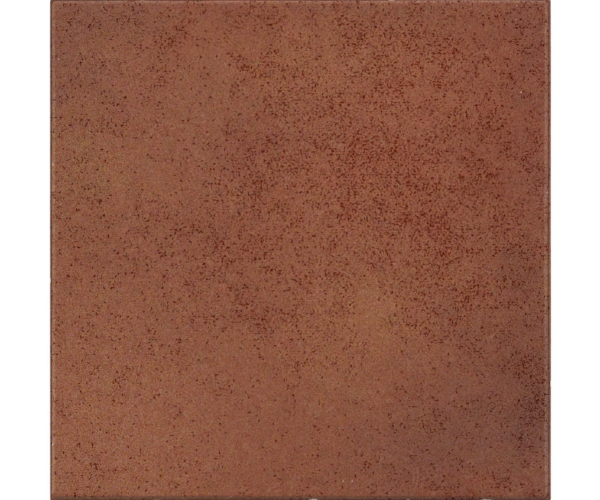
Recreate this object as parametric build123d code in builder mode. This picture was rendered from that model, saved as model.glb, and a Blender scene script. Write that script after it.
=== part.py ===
from build123d import *
from math import cos, radians, tan
import os

# A square floor tile, dry-pressed and fired in one piece, lying face up on its keyed back.
# The origin is at the centre of the back, on the plane that the tile beds on, and +Z points
# up through the wear face. All sizes are in millimetres, and angles in degrees.

# Overall work size
side_length = 330.0
thickness = 8.5

# Rim, from the outside in: a vertical joint side, a narrow ledge where the die ends,
# a leaning riser, and the rolled arris that runs into the wear face
outline_corner_radius = 1.0
back_chamfer = 0.8
ledge_round = 0.4
ledge_width = 1.3
ledge_drop = 2.2
riser_draft = 25.0
riser_root_radius = 0.4
arris_radius = 2.4
face_corner_radius = 0.5

# Keyed back: square cells with clipped corners, pressed between ribs, inside a plain border
cell_width = 23.0
cell_depth = 0.8
cell_draft = 35.0
cell_corner_cut = 2.5
rib_width = 3.0
least_border_width = 8.0

# The riser leans in by its draft, and the arris takes up the turn from the riser to the face.
# On a low riser the arris is smaller, so that a little of the riser stays straight. The
# raised slab's corners are round enough to leave the wear face its own corner radius.
most_of_riser_rolled = 0.9
ledge_height = thickness - ledge_drop
raised_width = side_length - 2 * ledge_width
riser_lean = ledge_drop * tan(radians(riser_draft))
riser_length = ledge_drop / cos(radians(riser_draft))
reach_per_radius = tan(radians((90 - riser_draft) / 2))
riser_room = riser_length - riser_root_radius * reach_per_radius
rolled_radius = min(arris_radius, most_of_riser_rolled * riser_room / reach_per_radius)
raised_corner_radius = face_corner_radius + riser_lean + rolled_radius * reach_per_radius

# As many whole cells as the border leaves room for, an even number, so that two ribs
# cross at the centre
cell_pitch = cell_width + rib_width
cell_field = side_length - 2 * least_border_width + rib_width
cells_per_side = 2 * int(cell_field / (2 * cell_pitch))

# The punch that presses one cell, wider at the back than at the cell's floor
with BuildPart() as cell_punch:
    with BuildSketch() as cell_outline:
        Rectangle(cell_width, cell_width)
        chamfer(cell_outline.vertices(), cell_corner_cut)
    extrude(amount=cell_depth, taper=cell_draft)

with BuildPart() as floor_tile:
    # The body at its full width, up to the ledge
    with BuildSketch():
        RectangleRounded(side_length, side_length, outline_corner_radius)
    extrude(amount=ledge_height)
    chamfer(floor_tile.edges().group_by(Axis.Z)[0], back_chamfer)
    fillet(floor_tile.edges().group_by(Axis.Z)[-1], ledge_round)

    # The raised slab that carries the wear face, with its riser and rolled arris
    with BuildSketch(Plane.XY.offset(ledge_height)):
        RectangleRounded(raised_width, raised_width, raised_corner_radius)
    extrude(amount=ledge_drop, taper=riser_draft)
    fillet(floor_tile.edges(Select.LAST).group_by(Axis.Z)[0], riser_root_radius)
    fillet(floor_tile.edges().group_by(Axis.Z)[-1], rolled_radius)

    # The cells of the back
    with GridLocations(cell_pitch, cell_pitch, cells_per_side, cells_per_side):
        add(cell_punch.part, mode=Mode.SUBTRACT)

floor_tile.part.label = "floor_tile"

os.makedirs("parts", exist_ok=True)
export_step(floor_tile.part, "parts/floor_tile.step")
print("cells per side:", cells_per_side)
print("volume in cubic centimetres:", round(floor_tile.part.volume / 1000, 1))
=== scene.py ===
import bmesh
import bpy
import numpy as np
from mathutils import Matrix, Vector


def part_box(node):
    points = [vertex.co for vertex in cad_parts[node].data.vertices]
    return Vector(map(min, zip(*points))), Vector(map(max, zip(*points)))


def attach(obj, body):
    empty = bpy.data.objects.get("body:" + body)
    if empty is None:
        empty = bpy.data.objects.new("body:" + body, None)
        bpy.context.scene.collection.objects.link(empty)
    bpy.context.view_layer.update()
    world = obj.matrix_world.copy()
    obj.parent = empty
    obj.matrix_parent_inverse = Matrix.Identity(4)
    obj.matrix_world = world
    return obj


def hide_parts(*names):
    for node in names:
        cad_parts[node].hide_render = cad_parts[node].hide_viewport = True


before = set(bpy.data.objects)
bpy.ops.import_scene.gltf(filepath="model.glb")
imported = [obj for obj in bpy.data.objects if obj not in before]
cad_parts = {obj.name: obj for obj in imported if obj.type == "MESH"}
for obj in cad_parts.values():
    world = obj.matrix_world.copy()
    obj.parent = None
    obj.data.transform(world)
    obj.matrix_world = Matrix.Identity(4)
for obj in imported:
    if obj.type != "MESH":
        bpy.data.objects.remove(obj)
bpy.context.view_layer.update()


# The pressed rim
# The tile is one slab of pale stoneware, dry-pressed from powder in a steel die and fired once.
# The die leaves a vertical joint side, a narrow ledge, and a raised wear face with a rolled
# arris. The fire lets these lines wander a little, and handling has nicked some of them.
mm = 0.001
_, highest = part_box("floor_tile")
half_side = highest.x
thickness = highest.z

outline_corner_radius = 1.0 * mm
back_chamfer = 0.8 * mm
ledge_round = 0.4 * mm
ledge_width = 1.3 * mm
ledge_drop = 2.2 * mm
riser_draft = 25.0
root_radius = 0.4 * mm
arris_radius = 2.4 * mm
face_corner_radius = 0.5 * mm

ledge_height = thickness - ledge_drop
riser_lean = 90 - riser_draft
reach_per_radius = np.tan(np.radians(riser_lean / 2))
riser_foot = ledge_width - root_radius * reach_per_radius
slab_inset = ledge_width + ledge_drop * np.tan(np.radians(riser_draft))
face_inset = slab_inset + arris_radius * reach_per_radius


def arc(inset, height, radius, leans):
    """Insets, heights and leans of points on an arc of the section. From the centre, a point lies
    the radius times the sine of its lean outwards, and the radius times the cosine up. A negative
    radius gives a hollow arc."""
    leans = np.radians(leans)
    return np.array([inset - radius * np.sin(leans), height + radius * np.cos(leans), leans])


def square_ring(half, corner, around):
    """Points round a square with rounded corners, and the way out from it at each. `around` counts
    sides from the near left corner, anticlockwise. A point runs straight along its side, and over
    the last corner radius it swings along the corner's arc by an eighth of a turn."""
    number = np.floor(around)
    along = (2 * (around - number) - 1) * half
    straight = half - corner
    swing = np.pi / 4 * np.clip(np.abs(along) - straight, 0, None) / corner
    right = np.sign(along) * (np.minimum(np.abs(along), straight) + corner * np.sin(swing))
    out = straight + corner * np.cos(swing)
    out_right = np.sign(along) * np.sin(swing)
    turn = number * np.pi / 2
    x = right * np.cos(turn) + out * np.sin(turn)
    y = right * np.sin(turn) - out * np.cos(turn)
    out_x = out_right * np.cos(turn) + np.cos(swing) * np.sin(turn)
    out_y = out_right * np.sin(turn) - np.cos(swing) * np.cos(turn)
    return x, y, out_x, out_y


def side_lines(count, end_count, end_share):
    """Positions along a side from -1 to 1 in even steps, with `end_count` finer steps over the
    share at each end where the corner bends."""
    steps = [0, end_count, count - end_count, count]
    return np.interp(np.arange(count + 1), steps, [-1, end_share - 1, 1 - end_share, 1])


def round_sides(lines):
    """The positions of one side repeated on all four, as square_ring counts them."""
    return (np.arange(4)[:, None] + (lines[:-1] + 1) / 2).ravel()


def wandering(around, falloff, seed):
    """A line that wanders by about 1 round the tile: a sum of 40 cosines that close on themselves,
    with seeded phases. A cosine is as strong as its order to the power of minus the falloff."""
    order = np.arange(1, 41)[:, None]
    phase = np.random.default_rng(seed).uniform(0, 2 * np.pi, order.shape)
    size = order ** -falloff
    waves = size * np.cos(2 * np.pi * order * around / 4 + phase)
    return waves.sum(0) / np.sqrt((size**2).sum() / 2)


def swells(x, y, shortest, longest, seed):
    """Gentle swells of about 1 over the plane: a sum of 24 cosines that run in all directions, of
    seeded lengths and phases, each as strong as it is long."""
    count = 24
    rng = np.random.default_rng(seed)
    lengths = np.exp(rng.uniform(np.log(shortest), np.log(longest), count))
    headings = rng.uniform(0, 2 * np.pi, count)
    phases = rng.uniform(0, 2 * np.pi, count)
    total = np.zeros(np.shape(x))
    for length, heading, phase in zip(lengths, headings, phases):
        way = x * np.cos(heading) + y * np.sin(heading)
        total += length * np.cos(2 * np.pi * way / length + phase)
    return total / np.sqrt((lengths**2).sum() / 2)


# The section as columns of inset from the outline, height, and lean of the surface outwards. It
# starts with two rings on the flat of the wear face. The run down it is counted from the arris.
flat_reaches = np.array([1.1, 0.4]) * mm
highest_side_ring = 4.6 * mm
section = np.hstack([
    [face_inset + flat_reaches, np.full(2, thickness), np.zeros(2)],
    arc(face_inset, thickness - arris_radius, arris_radius, np.linspace(0, riser_lean, 8)),
    arc(riser_foot, ledge_height + root_radius, -root_radius, np.linspace(riser_lean, 0, 4)),
    [[(riser_foot + ledge_round) / 2], [ledge_height], [0]],
    arc(ledge_round, ledge_height - ledge_round, ledge_round, np.linspace(0, 90, 4)),
    [np.zeros(4), np.linspace(highest_side_ring, back_chamfer, 4), np.full(4, np.pi / 2)],
    [[back_chamfer], [0], [np.pi * 3 / 4]],
])
inset, height, lean = section[:, :, None]
steps_down = np.hypot(*np.diff(section[:2]))
run = np.append(0, np.cumsum(steps_down))[:, None] - flat_reaches[0]

# Each ring's corner radius. The slab's corners are rounder than the body's, and the lowest ring
# lies at the chamfer's foot.
above_foot = height > back_chamfer / 2
slab_corner_radius = face_corner_radius + face_inset - riser_foot
ledge_corner_radius = outline_corner_radius - ledge_round
foot_corner_radius = outline_corner_radius - back_chamfer
corner_insets = [0, ledge_round, riser_foot, face_inset]
corner_radii = [outline_corner_radius, ledge_corner_radius, slab_corner_radius, face_corner_radius]
corner = np.where(above_foot, np.interp(inset, corner_insets, corner_radii), foot_corner_radius)

# The outline is held by the die's walls, so it wanders little and only inwards. The raised slab
# follows the punch, which sits a little off the die's middle.
rim_around = round_sides(side_lines(count=512, end_count=16, end_share=0.025))
on_slab = np.where(above_foot, np.interp(inset, [ledge_round, riser_foot], [0, 1]), 0)
slab_waver = 0.16 * mm * wandering(rim_around, falloff=0.9, seed=3)
outline_waver = 0.07 * mm * np.abs(wandering(rim_around, falloff=1.1, seed=4))
half = half_side - inset - on_slab * slab_waver - (1 - on_slab) * outline_waver
rim_x, rim_y, out_x, out_y = square_ring(half, corner, rim_around)
slab_off_right = -0.4 * mm
slab_off_up = 0.35 * mm
rim_x = rim_x + on_slab * slab_off_right
rim_y = rim_y + on_slab * slab_off_up

# Nicks: the side counted from the near one anticlockwise, millimetres along it from its middle,
# the run down the section from the wear face's edge, then half length, half width and depth
nicks = [
    (0, 9.2, 4.9, 3.4, 0.8, 0.35),
    (0, 122.5, 5.0, 4.2, 0.9, 0.4),
    (0, -95.0, 4.9, 2.4, 0.7, 0.25),
    (0, -46.0, 1.9, 1.1, 0.6, 0.18),
    (0, 71.0, 4.9, 1.4, 0.6, 0.25),
    (1, -88.0, 4.9, 1.8, 0.7, 0.25),
    (1, 38.0, 1.8, 0.9, 0.5, 0.15),
    (2, 104.0, 4.9, 1.5, 0.6, 0.2),
    (2, -60.0, 4.9, 2.2, 0.7, 0.25),
    (3, -94.4, 1.7, 0.9, 0.6, 0.18),
    (3, -57.5, 1.6, 1.2, 0.6, 0.2),
    (3, 130.0, 1.7, 1.1, 0.7, 0.2),
    (3, 20.0, 4.9, 1.6, 0.6, 0.25),
]

# A nick's outline is ragged, and where it goes deeper than the glaze the body shows
nick_raggedness = 0.4
glaze_depth = 0.12 * mm
ragged = nick_raggedness * swells(rim_x, rim_y, shortest=1.2 * mm, longest=5 * mm, seed=15)
bite = np.zeros(rim_x.shape)
for side, middle, down, long, wide, deep in nicks:
    off_along = (rim_around - side - 0.5) * 2 * half_side / mm - middle
    off_down = run / mm - down
    scoop = 1 + ragged - (off_along / long) ** 2 - (off_down / wide) ** 2
    bite = np.maximum(bite, deep * mm * np.sqrt(np.clip(scoop, 0, None)))
rim_x = rim_x - bite * out_x * np.sin(lean)
rim_y = rim_y - bite * out_y * np.sin(lean)
rim_z = height - bite * np.cos(lean)
rim_bare = np.clip(bite / glaze_depth, 0, 1)

# How thick the glaze lies, with painted light and shade in it, with a row for each side (near,
# right, far and left) and a column for each run down the section: 0 is bare, 0.5 thin and pale,
# 1 full, and more is darker, for pooled glaze and for painted shade. It thins over the arris,
# pools in the root and runs out below. The far side's thin, pale band low on the arris is a
# painted highlight where it faces the strip lamp, and the far ledge is painted darker where the
# lamp lights it. The near side turns away from the lamp. It has painted shade on its arris and on
# its ledge's outer edge, and its riser is painted paler against the shade there. The dark line at
# each root is partly pooled glaze and partly painted shade.
film_runs = np.array([-1.1, -0.4, 0, 0.8, 1.6, 2.4, 3.0, 3.5, 3.9, 4.4, 4.8, 5.2, 6.4, 7.6]) * mm
film_and_shade_by_side = np.array([
    [1.0, 1.0, 1.0, 1.0, 1.25, 1.1, 0.7, 0.5, 0.8, 2.0, 2.4, 2.2, 1.2, 0.0],
    [1.0, 0.75, 0.55, 0.55, 0.62, 0.8, 1.15, 1.4, 1.0, 0.5, 0.5, 0.6, 0.4, 0.0],
    [1.0, 1.0, 1.0, 0.95, 0.75, 0.55, 1.3, 1.55, 1.65, 1.7, 1.75, 1.6, 0.8, 0.0],
    [1.0, 0.9, 0.75, 0.55, 0.6, 0.68, 1.0, 1.35, 1.4, 1.15, 0.9, 0.65, 0.4, 0.0],
])
film_and_shade_of_side = np.stack([np.interp(run[:, 0], film_runs, films) for films in film_and_shade_by_side])

# Round each corner, one side's film passes into the next one's
corner_share = 0.01
side_ends = (np.arange(5)[:, None] + [-corner_share, corner_share]).ravel()[1:]
film_and_shade_at_ends = film_and_shade_of_side[np.repeat([0, 1, 2, 3, 0], 2)[:-1]]
film_and_shade = np.stack([np.interp(rim_around, side_ends, ring) for ring in film_and_shade_at_ends.T])


# The wear face
# The flat top of the slab, fully glazed. Its middle lies a trace high or low where the powder
# packed unevenly in the die. Its grid ends a little inside the rim's first ring.
grid_inset = 5.8 * mm
face_lines = side_lines(count=128, end_count=4, end_share=0.02)
face_across = face_lines * (half_side - grid_inset)
face_x, face_y = np.meshgrid(face_across + slab_off_right, face_across + slab_off_up)
face_z = np.full(face_x.shape, thickness)
face_around = round_sides(face_lines)


# The keyed back
# Ribs stand between square cells, pressed into the back by a punch with drafted, rounded teeth,
# so that the bedding mortar keys in. A plain border runs round them.
cell_width = 23.0 * mm
cell_depth = 0.8 * mm
cell_draft = 35.0
cell_corner_radius = 3.8 * mm
rib_width = 3.0 * mm
least_border_width = 8.0 * mm
rib_round = 0.3 * mm
sharp_corner_radius = 0.001 * mm

cell_pitch = cell_width + rib_width
cells_per_side = 2 * int((2 * (half_side - least_border_width) + rib_width) / (2 * cell_pitch))
wall_reach = cell_depth * np.tan(np.radians(cell_draft))
round_reach = rib_round * np.tan(np.radians(90 - cell_draft) / 2)
round_drop = round_reach * np.cos(np.radians(cell_draft))
round_lean = round_reach * np.sin(np.radians(cell_draft))
touch = 0.3 * round_reach
cell_half = cell_width / 2
floor_half = cell_half - wall_reach

# The rings of one cell, from the middle of its ribs inwards: the rib's rounded edge, the drafted
# wall, its rounded foot, and the cell's floor
cell_halves = np.array([
    cell_pitch / 2, cell_half + round_reach, cell_half + touch / 3, cell_half - round_lean,
    floor_half + round_lean, floor_half - touch / 3, floor_half - round_reach, floor_half / 2,
])
cell_heights = np.array([
    0, 0, touch, round_drop,
    cell_depth - round_drop, cell_depth - touch, cell_depth, cell_depth,
])
cell_corners = np.clip(cell_corner_radius - cell_half + cell_halves, sharp_corner_radius, None)
cell_corners[0] = sharp_corner_radius
arc_start = 1 - cell_corner_radius / cell_half
cell_lines = np.array([-1, (-1 - arc_start) / 2, -arc_start, 0, arc_start, (1 + arc_start) / 2, 1])
cell_around = round_sides(cell_lines)
ring_x, ring_y, _, _ = square_ring(cell_halves[:, None], cell_corners[:, None], cell_around)
cell_places = (np.arange(cells_per_side) - (cells_per_side - 1) / 2) * cell_pitch
place_x, place_y = (grid.ravel()[:, None, None] for grid in np.meshgrid(cell_places, cell_places))
cell_x = place_x + ring_x
cell_y = place_y + ring_y
cell_z = np.broadcast_to(cell_heights[:, None], cell_x.shape)

field_half = cells_per_side * cell_pitch / 2
field_lines = (cell_places[:, None] + cell_lines[:-1] * cell_pitch / 2).ravel() / field_half
field_around = round_sides(np.append(field_lines, 1))
field_x, field_y, _, _ = square_ring(field_half, sharp_corner_radius, field_around)


# The slab's mesh
# The rim's rings, the face's grid and the cells are joined into one closed shell, and lifted by
# the swell of the fired slab, which fades out towards the bed.
def numbered(points, start):
    """Vertex numbers for an array of points, from `start` on."""
    return start + np.arange(points.size).reshape(points.shape)


def quads(numbers):
    """Faces between each row of vertex numbers and the next, as the last two axes of an array."""
    row = numbers[..., :-1, :]
    next_row = numbers[..., 1:, :]
    corners = [row[..., :-1], row[..., 1:], next_row[..., 1:], next_row[..., :-1]]
    return np.stack(corners, -1).reshape(-1, 4)


def closed(numbers):
    """Rows of vertex numbers with the first column again at the end."""
    return np.concatenate([numbers, numbers[..., :1]], -1)


def zipped(first, first_around, second, second_around):
    """Triangles between two rings. Each step along one ring makes a triangle with the point that
    the other ring has reached by then, going by their places round the tile."""
    first_ends = np.append(first_around[1:], 4)
    second_ends = np.append(second_around[1:], 4)
    second_reached = second[np.searchsorted(second_ends, first_ends, "left")]
    first_reached = first[np.searchsorted(first_ends, second_ends, "right") % len(first)]
    return np.vstack([
        np.column_stack([first, np.roll(first, -1), second_reached]),
        np.column_stack([np.roll(second, -1), second, first_reached]),
    ])


grids = [face_x, rim_x, cell_x, place_x, field_x]
starts = np.cumsum([0] + [grid.size for grid in grids[:-1]])
face_numbers, rim_numbers, cell_numbers, middle_numbers, field_numbers = map(numbered, grids, starts)
face_edge = np.concatenate([
    face_numbers[0, :-1], face_numbers[:-1, -1], face_numbers[-1, :0:-1], face_numbers[:0:-1, 0],
])
innermost = cell_numbers[:, -1, :]
middles = np.broadcast_to(middle_numbers[:, 0], innermost.shape)
faces = [
    quads(face_numbers),
    zipped(face_edge, face_around, rim_numbers[0], rim_around),
    quads(closed(rim_numbers)),
    zipped(rim_numbers[-1], rim_around, field_numbers, field_around),
    quads(closed(cell_numbers)),
    np.stack([innermost, np.roll(innermost, -1, -1), middles], -1).reshape(-1, 3),
]

x = np.concatenate([grid.ravel() for grid in grids])
y = np.concatenate([grid.ravel() for grid in (face_y, rim_y, cell_y, place_y, field_y)])
middle_z = np.full(place_x.size, cell_depth)
field_z = np.zeros(field_x.size)
z = np.concatenate([face_z.ravel(), rim_z.ravel(), cell_z.ravel(), middle_z, field_z])
swell = 0.03 * mm * swells(x, y, shortest=35 * mm, longest=260 * mm, seed=8)
points = np.column_stack([x, y, z + swell * (z / thickness) ** 2])

# The glaze's film at each point, with the rim's painted light and shade in it, and how far a nick
# has bared the body. The back has no glaze.
on_back = np.zeros(cell_x.size + place_x.size + field_x.size)
glaze_film_and_shade = np.concatenate([np.ones(face_x.size), film_and_shade.ravel(), on_back])
bare_body = np.concatenate([np.zeros(face_x.size), rim_bare.ravel(), on_back])


# The ground colour
# The face's colour clouds are in the glaze, which was sprayed in several coats of iron browns:
# ochre and pale where it lies thin or burnt light, red and violet where it took more iron. The
# first umber cloud, a long band over the far edge, is painted shade where the strip lamp lights
# the face more.
ground_base = np.array([0.265, 0.0885, 0.0446])
tints = {
    "ochre": (1.10, 1.26, 1.12),
    "amber": (1.10, 1.07, 0.98),
    "orange": (1.06, 1.00, 0.88),
    "pale": (1.18, 1.30, 1.32),
    "rust": (0.99, 0.82, 0.77),
    "red": (1.04, 0.80, 0.68),
    "oxblood": (0.82, 0.70, 0.74),
    "umber": (0.78, 0.80, 0.84),
    "violet": (0.76, 0.80, 1.02),
    "olive": (0.98, 1.18, 0.94),
}
# Each cloud: its tint, millimetres right and up from the middle, reach along and across, turn
# in degrees, and strength
clouds = [
    # Painted shade: a band along the whole far edge, where the strip lamp lights the face more
    ("umber", 0, 166, 400, 30, 0, 0.55),
    ("umber", -150, 150, 40, 40, 0, 0.32),
    ("umber", 152, 150, 32, 32, 0, 0.2),
    ("red", 134, 152, 50, 30, 0, 0.26),
    ("orange", 92, 102, 50, 44, 0, 0.2),
    ("umber", -58, 112, 30, 44, 0, 0.3),
    ("orange", -48, 132, 44, 30, 0, 0.5),
    ("rust", -10, 156, 80, 30, 0, 0.35),
    ("orange", 0, 122, 80, 34, 0, 0.3),
    ("pale", -126, -118, 75, 60, 20, 0.9),
    ("pale", -145, -55, 28, 30, 0, 0.2),
    ("umber", -150, 44, 46, 40, 0, 0.12),
    ("pale", -90, -152, 26, 22, 0, 0.35),
    ("olive", -152, 62, 18, 40, 0, 0.4),
    ("violet", -156, 118, 20, 28, 0, 0.4),
    ("umber", -140, 130, 70, 60, 0, 0.22),
    ("ochre", -122, 52, 26, 20, 0, 0.5),
    ("ochre", -53, 126, 24, 26, 0, 0.2),
    ("ochre", 13, 130, 42, 26, 10, 0.5),
    ("amber", 79, 105, 48, 30, -35, 0.5),
    ("red", -62, 152, 32, 18, 0, 0.35),
    ("red", 46, 56, 44, 34, -15, 0.35),
    ("oxblood", 118, 52, 28, 38, 0, 0.4),
    ("rust", 142, 96, 44, 74, 0, 0.95),
    ("umber", 130, 100, 40, 60, 0, 0.36),
    ("umber", 152, 36, 22, 22, 0, 0.15),
    ("oxblood", 150, -46, 20, 56, 0, 0.35),
    ("violet", 100, -72, 30, 28, 0, 0.34),
    ("umber", 118, -50, 26, 24, 0, 0.16),
    ("oxblood", 122, -72, 20, 28, 0, 0.2),
    ("red", 88, 14, 26, 24, 0, 0.25),
    ("violet", 154, 120, 16, 48, 0, 0.6),
    ("violet", 156, 45, 12, 26, 0, 0.4),
    ("umber", 148, -18, 24, 32, 0, 0.9),
    ("umber", 150, -92, 26, 40, 0, 0.9),
    ("violet", 155, -120, 24, 45, 0, 0.5),
    ("violet", 140, -156, 60, 16, 0, 0.35),
    ("violet", 92, -128, 60, 34, 15, 0.6),
    ("umber", 96, -130, 55, 34, 15, 0.54),
    ("rust", -10, -112, 150, 48, 0, 0.25),
    ("rust", 10, -158, 150, 20, 0, 0.15),
    ("red", 148, -26, 22, 20, 0, 0.2),
    ("red", 115, -157, 40, 7, 0, 0.8),
    ("amber", 24, -20, 62, 62, 0, 0.5),
    ("pale", 6, -52, 36, 24, 0, 0.34),
    ("pale", 40, 44, 40, 26, 0, 0.22),
    ("pale", 72, 62, 80, 66, 0, 0.16),
    ("pale", 86, -28, 20, 18, 0, 0.15),
    ("ochre", 50, -44, 32, 24, -25, 0.7),
    ("ochre", 26, -90, 18, 16, 0, 0.5),
    ("oxblood", -27, 64, 20, 30, 10, 0.4),
    ("oxblood", -54, 10, 20, 20, 0, 0.35),
    ("oxblood", -32, -36, 24, 26, 0, 0.3),
    ("oxblood", -122, -2, 26, 18, 0, 0.3),
    ("red", -17, 22, 22, 22, 0, 0.2),
    ("oxblood", -44, -146, 28, 12, 0, 0.35),
    ("umber", -4, -104, 28, 22, 0, 0.2),
]

# The clouds' outlines drift by about 6 mm, so that none is a plain oval
drift = 6 * mm
drift_x = x + drift * swells(x, y, shortest=12 * mm, longest=60 * mm, seed=21)
drift_y = y + drift * swells(x, y, shortest=12 * mm, longest=60 * mm, seed=22)


def soft_oval(right, up, along, across, turn=0):
    """A bell curve over the face, 1 at the place given: the exponential of minus the squared ways
    from there along and across the oval, each as a share of its reach."""
    heading = np.radians(turn)
    off_x = drift_x / mm - right
    off_y = drift_y / mm - up
    far_along = (off_x * np.cos(heading) + off_y * np.sin(heading)) / along
    far_across = (off_y * np.cos(heading) - off_x * np.sin(heading)) / across
    return np.exp(-(far_along**2) - far_across**2)


ground = np.tile(ground_base, (x.size, 1))
for tint, right, up, along, across, turn, strength in clouds:
    share = strength * soft_oval(right, up, along, across, turn)
    ground *= 1 + share[:, None] * (np.array(tints[tint]) - 1)

# Where the iron specks crowd: millimetres right and up, reach along and across, and strength
crowds = [
    (56, 46, 110, 110, 0.45),
    (-30, -112, 110, 44, -0.28),
    (-100, 62, 26, 24, -0.2),
    (-60, 98, 20, 18, -0.3),
    (126, 84, 12, 10, 0.4),
    (-58, -6, 14, 14, 0.3),
    (50, 141, 16, 12, 0.5),
    (79, 128, 16, 16, 0.35),
    (-27, 126, 14, 12, 0.3),
    (50, 68, 18, 12, 0.4),
    (38, 33, 14, 10, 0.35),
    (-35, 41, 16, 12, 0.4),
    (86, 12, 14, 12, 0.5),
    (98, -24, 16, 14, 0.4),
    (112, 45, 12, 10, 0.35),
    (-33, -38, 14, 10, 0.45),
    (-56, -26, 12, 12, 0.3),
    (115, -52, 14, 12, 0.3),
    (-80, 146, 12, 14, 0.45),
    (154, -94, 8, 22, 0.4),
    (40, -40, 16, 18, -0.45),
    (48, -78, 18, 16, -0.3),
    (-62, 130, 14, 20, -0.3),
    (92, -84, 18, 14, -0.3),
    (-20, -130, 40, 24, -0.3),
]
speck_crowding = np.zeros(x.size)
for right, up, along, across, strength in crowds:
    speck_crowding += strength * soft_oval(right, up, along, across)

# The mesh with these values at its points. Points that lie together are welded.
weld_distance = 0.002 * mm
sharp_angle = 38.0
slab = bpy.data.meshes.new("floor_tile_glazed")
slab.from_pydata(points.tolist(), [], [face for group in faces for face in group.tolist()])
for label, values in {"film_and_shade": glaze_film_and_shade, "bare": bare_body, "crowding": speck_crowding}.items():
    slab.attributes.new(label, "FLOAT", "POINT").data.foreach_set("value", values)
opaque_ground = np.column_stack([ground, np.ones(x.size)])
slab.attributes.new("ground", "FLOAT_COLOR", "POINT").data.foreach_set("color", opaque_ground.ravel())
welded = bmesh.new()
welded.from_mesh(slab)
bmesh.ops.remove_doubles(welded, verts=welded.verts, dist=weld_distance)
bmesh.ops.recalc_face_normals(welded, faces=welded.faces)
welded.to_mesh(slab)
welded.free()
slab.polygons.foreach_set("use_smooth", np.ones(len(slab.polygons), bool))
slab.set_sharp_from_angle(angle=np.radians(sharp_angle))
tile = bpy.data.objects.new("floor_tile_glazed", slab)
bpy.context.scene.collection.objects.link(tile)


# The glaze and the bare stoneware
# One material covers the slab, because glaze and body are fired together: an iron-brown satin
# glaze with oxblood specks on top, and the pale body where the glaze runs out or is chipped.
class Finish:
    """A material's nodes. Each method that describes a look adds the nodes for it and returns the
    last one's output. An input is a number, a colour or another node's output."""

    def __init__(self, name):
        self.material = bpy.data.materials.new(name)
        self.material.use_nodes = True
        self.tree = self.material.node_tree
        self.tree.nodes.clear()

    def add(self, kind, inputs, output=0, **settings):
        """Adds one node of a kind, with its settings and inputs, and returns one of its outputs."""
        made = self.tree.nodes.new("ShaderNode" + kind)
        for setting, value in settings.items():
            setattr(made, setting, value)
        for socket, value in inputs.items():
            if isinstance(value, bpy.types.NodeSocket):
                self.tree.links.new(value, made.inputs[socket])
            else:
                made.inputs[socket].default_value = value
        return made.outputs[output]

    def sum(self, first, second):
        return self.add("Math", {0: first, 1: second}, operation="ADD")

    def times(self, first, second):
        return self.add("Math", {0: first, 1: second}, operation="MULTIPLY")

    def most(self, first, second):
        return self.add("Math", {0: first, 1: second}, operation="MAXIMUM")

    def grown(self, value, start, end, low=0.0, high=1.0):
        """Eases from low to high as the value goes from start to end."""
        inputs = {"Value": value, "From Min": start, "From Max": end, "To Min": low, "To Max": high}
        return self.add("MapRange", inputs, interpolation_type="SMOOTHSTEP")

    def noise(self, place, grain, detail=0.0, roughness=0.5, distortion=0.0, output=0):
        """Smooth noise from 0 to 1 with lumps about as large as the grain."""
        inputs = {"Vector": place, "Scale": 1 / grain, "Detail": detail, "Roughness": roughness}
        return self.add("TexNoise", {**inputs, "Distortion": distortion}, output)

    def granules(self, place, grain):
        """Cells about as large as the grain, each with one random number from 0 to 1."""
        cells = self.add("TexVoronoi", {"Vector": place, "Scale": 1 / grain}, "Color")
        return self.add("SeparateColor", {0: cells})

    def strokes(self, place, grain, long, wide, wanted):
        """Short dark strokes in the plane, one in the middle of each random cell about as large as
        the grain. A cell's own random numbers give the stroke's turn, its size between 0.55 and
        1.45 times the one given, and whether it is there at all, which a share wanted of 1 makes
        certain. Returns 1 on a stroke, 0 off it."""
        inputs = {"Vector": place, "Scale": 1 / grain}
        cells = self.add("TexVoronoi", inputs, "Color", voronoi_dimensions="2D")
        middle = cells.node.outputs["Position"]
        turn, there, size = self.add("SeparateColor", {0: cells}).node.outputs
        off = self.add("VectorMath", {0: place, 1: middle}, operation="SUBTRACT")
        angle = self.times(turn, 2 * np.pi)
        turned = self.add("VectorRotate", {"Vector": off, "Angle": angle}, rotation_type="Z_AXIS")
        scaled = self.add("VectorMath", {0: turned, 1: (2 / long, 2 / wide, 0)}, operation="MULTIPLY")
        reach = self.add("VectorMath", {0: scaled}, "Value", operation="LENGTH")
        own_size = self.grown(size, 0, 1, low=0.55, high=1.45)
        reach_share = self.add("Math", {0: reach, 1: own_size}, operation="DIVIDE")
        kept = self.add("Math", {0: there, 1: wanted}, operation="LESS_THAN")
        return self.times(self.grown(reach_share, 1.0, 0.75), kept)

    def tinted(self, base, noise, gains):
        """The base colour times 1 plus the noise's way from its middle, at a gain for each channel."""
        offsets = tuple(1 - gain / 2 for gain in gains)
        scale = self.add("VectorMath", {0: noise, 1: gains, 2: offsets}, operation="MULTIPLY_ADD")
        return self.blend(1.0, base, scale, "MULTIPLY")

    def blend(self, share, first, second, kind="MIX"):
        """The first colour, with a share of the second over it."""
        inputs = {0: share, 6: first, 7: second}
        return self.add("Mix", inputs, 2, data_type="RGBA", blend_type=kind)

    def moved(self, place, x, y, z):
        """The place moved by so many metres, where a noise is unlike the one at the place itself."""
        return self.add("VectorMath", {0: place, 1: (x, y, z)}, operation="ADD")

    def give(self, surface, mesh):
        """Makes this the surface that the material shows, and puts the material on the mesh."""
        made = self.tree.nodes.new("ShaderNodeOutputMaterial")
        self.tree.links.new(surface, made.inputs["Surface"])
        mesh.materials.append(self.material)


def colour(red, green, blue):
    """An opaque colour from its three channels."""
    return (red, green, blue, 1)


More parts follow.
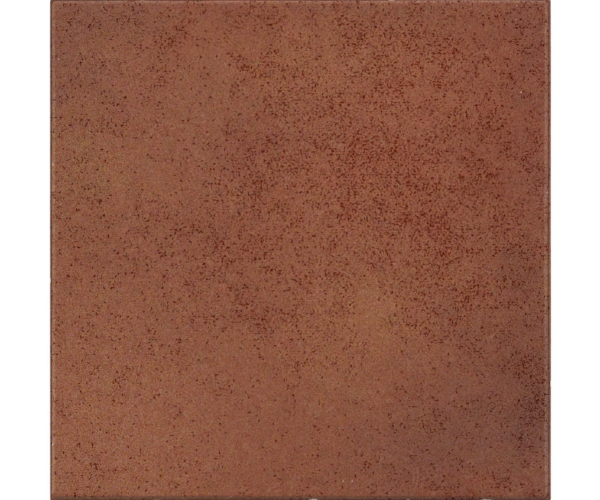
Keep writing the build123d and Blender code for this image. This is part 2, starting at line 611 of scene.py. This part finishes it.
finish = Finish("glazed_porcelain")
place = finish.add("TexCoord", {}, "Object")
right_here = finish.add("SeparateXYZ", {0: place}, "X")
height_here = finish.add("SeparateXYZ", {0: place}, "Z")
facing_up = finish.add("SeparateXYZ", {0: finish.add("NewGeometry", {}, "Normal")}, "Z")
ground_colour = finish.add("Attribute", {}, "Color", attribute_name="ground")
film_and_shade_here = finish.add("Attribute", {}, "Fac", attribute_name="film_and_shade")
bare_here = finish.add("Attribute", {}, "Fac", attribute_name="bare")
crowding_here = finish.add("Attribute", {}, "Fac", attribute_name="crowding")

# Clouds of 3 to 25 mm in the glaze, each channel by itself, so that they lean to ochre, rose,
# olive and violet, and others that only lighten or darken it
cloud_noise = finish.noise(place, 7 * mm, detail=4.0, roughness=0.72, output="Color")
glaze_colour = finish.tinted(ground_colour, cloud_noise, gains=(0.27, 0.38, 0.62))
cloud_shade = finish.noise(finish.moved(place, 0.2, 0.9, 0), 6 * mm, detail=4.0, roughness=0.72)
glaze_colour = finish.tinted(glaze_colour, cloud_shade, gains=(0.32, 0.50, 0.58))

# Small blooms of 1 to 3 mm that lean to rose or olive, and to ochre or violet, at one brightness
rose_noise = finish.noise(finish.moved(place, -0.6, 0.3, 0), 2.4 * mm, detail=1.0, roughness=0.6)
glaze_colour = finish.tinted(glaze_colour, rose_noise, gains=(0.20, -0.31, 0.0))
violet_noise = finish.noise(finish.moved(place, 0.4, 0.8, 0), 2.4 * mm, detail=1.0, roughness=0.6)
glaze_colour = finish.tinted(glaze_colour, violet_noise, gains=(-0.12, -0.20, 0.85))

# Granules of frit, dark ones and light ones
granules = finish.grown(finish.granules(place, 0.33 * mm), 0.25, 0.75)
glaze_colour = finish.tinted(glaze_colour, granules, gains=(0.48, 1.08, 1.65))

# Iron specks: short strokes, and the peaks of a curled noise where they run together. Both crowd
# where a coarser noise and the attribute say so, and neither runs down the joint sides.
clump_noise = finish.noise(finish.moved(place, -0.5, 0.6, 0), 14 * mm, detail=4.0, roughness=0.68)
crowd = finish.sum(clump_noise, finish.times(crowding_here, 0.42))
wanted = finish.grown(crowd, 0.38, 0.82, low=0.05, high=0.58)
bend_noise = finish.noise(place, 1.6 * mm, output="Color")
bend_reach = (0.8 * mm, 0.8 * mm, 0)
bent = finish.add("VectorMath", {0: bend_noise, 1: bend_reach, 2: place}, operation="MULTIPLY_ADD")
strokes = finish.strokes(bent, grain=1.9 * mm, long=1.8 * mm, wide=0.74 * mm, wanted=wanted)
bent_aside = finish.moved(bent, 0.21, 0.37, 0)
small_strokes = finish.strokes(bent_aside, grain=1.15 * mm, long=1.0 * mm, wide=0.6 * mm, wanted=wanted)
faint_strokes = finish.times(small_strokes, 0.66)
curl_place = finish.moved(place, 0.7, -0.4, 0)
curl_noise = finish.noise(curl_place, 1.1 * mm, detail=1.0, roughness=0.55, distortion=0.5)
curls = finish.grown(finish.sum(curl_noise, finish.times(crowd, 0.3)), 0.84, 0.88)
on_top = finish.grown(facing_up, 0.2, 0.6)
speck = finish.times(finish.most(finish.most(strokes, faint_strokes), curls), on_top)

# They stain the glaze oxblood, and in places purple, more so towards the left
purple = finish.grown(finish.sum(violet_noise, finish.times(right_here, -1.0)), 0.5, 0.66)
iron_stain = finish.blend(purple, colour(0.41, 0.06, 0.0), colour(0.32, 0.10, 0.09))
glaze_colour = finish.blend(speck, glaze_colour, iron_stain, "MULTIPLY")

# Pinholes, where a grain of the pale body shows through: millimetres right and up, and radius
pinholes = [
    (145.0, 103.7, 0.55), (28.1, -151.9, 0.5), (34.0, -151.9, 0.55), (-112.0, -66.5, 0.4),
    (142.3, 160.5, 0.4), (-158.9, 125.5, 0.45), (-157.5, 30.2, 0.4), (61.5, -9.0, 0.35),
    (141.7, 151.3, 0.35),
]
pinhole = 0.0
for right, up, radius in pinholes:
    middle = (right * mm, up * mm, thickness)
    distance = finish.add("VectorMath", {0: place, 1: middle}, "Value", operation="DISTANCE")
    pinhole = finish.most(pinhole, finish.grown(distance, radius * mm, 0.5 * radius * mm))

# Ghosts of brush strokes in an under-coat: thin pale lines where a noise crosses its middle
ghost_place = finish.moved(place, 0.3, -0.8, 0)
ghost_noise = finish.noise(ghost_place, 16 * mm, detail=2.0, distortion=1.2)
ghost_side = finish.add("Math", {0: finish.sum(ghost_noise, -0.5)}, operation="ABSOLUTE")
ghost_line = finish.grown(ghost_side, 0.016, 0.002, high=0.3)
ghost_area = finish.noise(finish.moved(place, 0.9, 0.4, 0), 22 * mm, detail=1.0)
ghost = finish.times(ghost_line, finish.grown(ghost_area, 0.55, 0.66))
glaze_colour = finish.blend(ghost, glaze_colour, colour(0.42, 0.20, 0.12))

# The bare body: pale stoneware with a few iron dots
body_noise = finish.noise(place, 1.1 * mm, detail=3.0, roughness=0.6)
body_colour = finish.blend(body_noise, colour(0.46, 0.38, 0.30), colour(0.66, 0.58, 0.48))
dot_noise = finish.noise(finish.moved(place, 0.1, 0.2, 0.3), 0.45 * mm, detail=1.0)
iron_dots = finish.grown(dot_noise, 0.74, 0.8, high=0.6)
body_colour = finish.blend(iron_dots, body_colour, colour(0.20, 0.12, 0.08))

# Ribs and border carry a streaked kiln wash, which keeps them from sticking to the rollers
streaked = finish.add("VectorMath", {0: place, 1: (0.12, 1.0, 1.0)}, operation="MULTIPLY")
wash_noise = finish.noise(streaked, 5 * mm, detail=4.0, roughness=0.6)
wash = finish.grown(wash_noise, 0.35, 0.65, low=0.1, high=0.8)
low_down = finish.grown(height_here, 0.5 * mm, 0.1 * mm)
on_bed = finish.times(low_down, finish.grown(facing_up, -0.5, -0.8))
body_colour = finish.blend(finish.times(wash, on_bed), body_colour, colour(0.76, 0.74, 0.70))

# The film lets the body shine through where it is thin, which on the far arris is a painted
# highlight. Above 1 it darkens, for pooled glaze and for painted shade. Darkest of all is a painted
# shade, mostly on the near ledge's outer edge, which turns away from the lamp, and partly on the
# far ledge. A noise frays its limits.
edge_noise = finish.noise(place, 1.6 * mm, detail=2.0, roughness=0.6)
frayed_film_and_shade = finish.sum(film_and_shade_here, finish.times(finish.sum(edge_noise, -0.5), 0.5))
# Paler where thin: thin glaze, and on the far arris a painted highlight facing the lamp
thin_and_highlight = finish.grown(frayed_film_and_shade, 0.95, 0.4)
glaze_colour = finish.blend(thin_and_highlight, glaze_colour, colour(1.35, 2.0, 2.5), "MULTIPLY")
# Darker where it pools: pooled glaze, and painted shade at the roots and on the near arris
pooled_and_shade = finish.grown(frayed_film_and_shade, 1.05, 1.45)
glaze_colour = finish.blend(pooled_and_shade, glaze_colour, colour(0.55, 0.49, 0.33), "MULTIPLY")
# Painted shade: a neutral dark on the ledges' outer edges, mostly on the near side, away from the lamp
painted_edge_shade = finish.grown(frayed_film_and_shade, 1.5, 2.0)
glaze_colour = finish.blend(painted_edge_shade, glaze_colour, colour(0.42, 0.42, 0.46), "MULTIPLY")

# The body shows where the film runs out, in the chips and in the pinholes
chip_noise = finish.noise(place, 0.7 * mm, detail=2.0, roughness=0.6)
chipped = finish.grown(finish.sum(bare_here, chip_noise), 0.9, 1.1)
whole = finish.add("Math", {0: 1.0, 1: finish.most(chipped, pinhole)}, operation="SUBTRACT")
covered = finish.times(finish.grown(frayed_film_and_shade, 0.0, 0.35), whole)
surface_colour = finish.blend(covered, body_colour, glaze_colour)

# The glaze is satin and a little uneven, like fine orange peel. The body is dull, and the specks
# are dry crystals, which don't shine.
gloss_noise = finish.noise(place, 4 * mm, detail=2.0)
glaze_roughness = finish.grown(gloss_noise, 0.2, 0.8, low=0.42, high=0.56)
roughness = finish.add("Mix", {0: covered, 2: 0.85, 3: glaze_roughness}, data_type="FLOAT")
specular = finish.grown(speck, 0, 1, low=0.25, high=0.0)
peel = finish.noise(finish.moved(place, 0.5, 0.1, 0.7), 1.8 * mm, detail=3.0, roughness=0.6)
relief = finish.sum(finish.sum(peel, finish.times(granules, 0.12)), finish.times(speck, -0.15))
bump = finish.add("Bump", {"Strength": 1.0, "Distance": 0.06 * mm, "Height": relief})
shader = finish.add("BsdfPrincipled", {
    "Base Color": surface_colour, "Roughness": roughness, "Normal": bump, "Specular IOR Level": specular,
})
finish.give(shader, slab)
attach(tile, "root")
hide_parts("floor_tile")


# The studio floor
# A white sweep of paper: a round floor that curves up into a wall, so that no edge shows behind
# the tile. It keeps the tile's shadow. It lies a hair below the bed, so that it isn't in one plane
# with the ribs.
floor_radius = 5.0
cove_radius = 1.5
wall_height = 3.2
floor_clearance = 0.05 * mm
flat_rings = np.array([0.02, 0.5, 1.5])
cove = np.linspace(0, np.pi / 2, 12)
cove_out = floor_radius - cove_radius + cove_radius * np.sin(cove)
cove_up = cove_radius - cove_radius * np.cos(cove)
sweep_out = np.concatenate([flat_rings, cove_out, [floor_radius]])
sweep_up = np.concatenate([0 * flat_rings, cove_up, [wall_height]]) - floor_clearance
sweep_around = np.linspace(0, 2 * np.pi, 96, endpoint=False)
sweep_x = sweep_out[:, None] * np.cos(sweep_around)
sweep_y = sweep_out[:, None] * np.sin(sweep_around)
sweep_z = np.broadcast_to(sweep_up[:, None], sweep_x.shape)
sweep_numbers = numbered(sweep_x, 0)
sweep_mesh = bpy.data.meshes.new("studio_sweep")
sweep_points = np.stack([sweep_x, sweep_y, sweep_z], -1).reshape(-1, 3)
sweep_faces = quads(closed(sweep_numbers)[:, ::-1]).tolist() + [sweep_numbers[0].tolist()]
sweep_mesh.from_pydata(sweep_points.tolist(), [], sweep_faces)
sweep_mesh.polygons.foreach_set("use_smooth", np.ones(len(sweep_mesh.polygons), bool))
sweep = bpy.data.objects.new("studio_sweep", sweep_mesh)
bpy.context.scene.collection.objects.link(sweep)

paper = Finish("studio_paper")
ray = paper.add("LightPath", {}).node
seen = paper.most(ray.outputs["Is Camera Ray"], ray.outputs["Is Glossy Ray"])
seen = paper.most(seen, ray.outputs["Is Transmission Ray"])
lit = paper.add("BsdfDiffuse", {"Color": colour(0.8, 0.8, 0.8)})
shadow_keeper = paper.add("BsdfDiffuse", {"Color": colour(0.22, 0.22, 0.22)})
glow = paper.add("Emission", {"Color": colour(1, 1, 1), "Strength": 0.82})
shown = paper.add("AddShader", {0: shadow_keeper, 1: glow})
paper.give(paper.add("MixShader", {0: seen, 1: lit, 2: shown}), sweep_mesh)


# The light
# A long strip lamp beyond the tile's far side, leaning down at it, and an even grey sky.
strip = bpy.data.lights.new("strip", "AREA")
strip.shape = "RECTANGLE"
strip.size = 3.5
strip.size_y = 0.7
strip.energy = 85
strip_holder = bpy.data.objects.new("strip", strip)
strip_holder.location = (0, 2.3, 2.3)
strip_holder.rotation_euler = (-np.pi / 4, 0, 0)
bpy.context.scene.collection.objects.link(strip_holder)
sky = bpy.data.worlds.new("sky")
sky.use_nodes = True
sky.node_tree.nodes["Background"].inputs["Color"].default_value = colour(1, 1, 1)
sky.node_tree.nodes["Background"].inputs["Strength"].default_value = 0.5
bpy.context.scene.world = sky


# The camera
# Straight above the tile, which fills the picture's height.
picture_width = 600
tile_height_in_picture = 501.2
tile_right_of_centre = 0.5
pixel = 2 * half_side / tile_height_in_picture
lens = bpy.data.cameras.new("camera")
lens.lens = 120
lens.sensor_width = 36
lens.clip_end = 20
camera = bpy.data.objects.new("camera", lens)
distance = picture_width * pixel * lens.lens / lens.sensor_width
camera.location = (-tile_right_of_centre * pixel, 0, ledge_height + distance)
bpy.context.scene.collection.objects.link(camera)
bpy.context.scene.camera = camera
bpy.context.scene.view_settings.view_transform = "Standard"
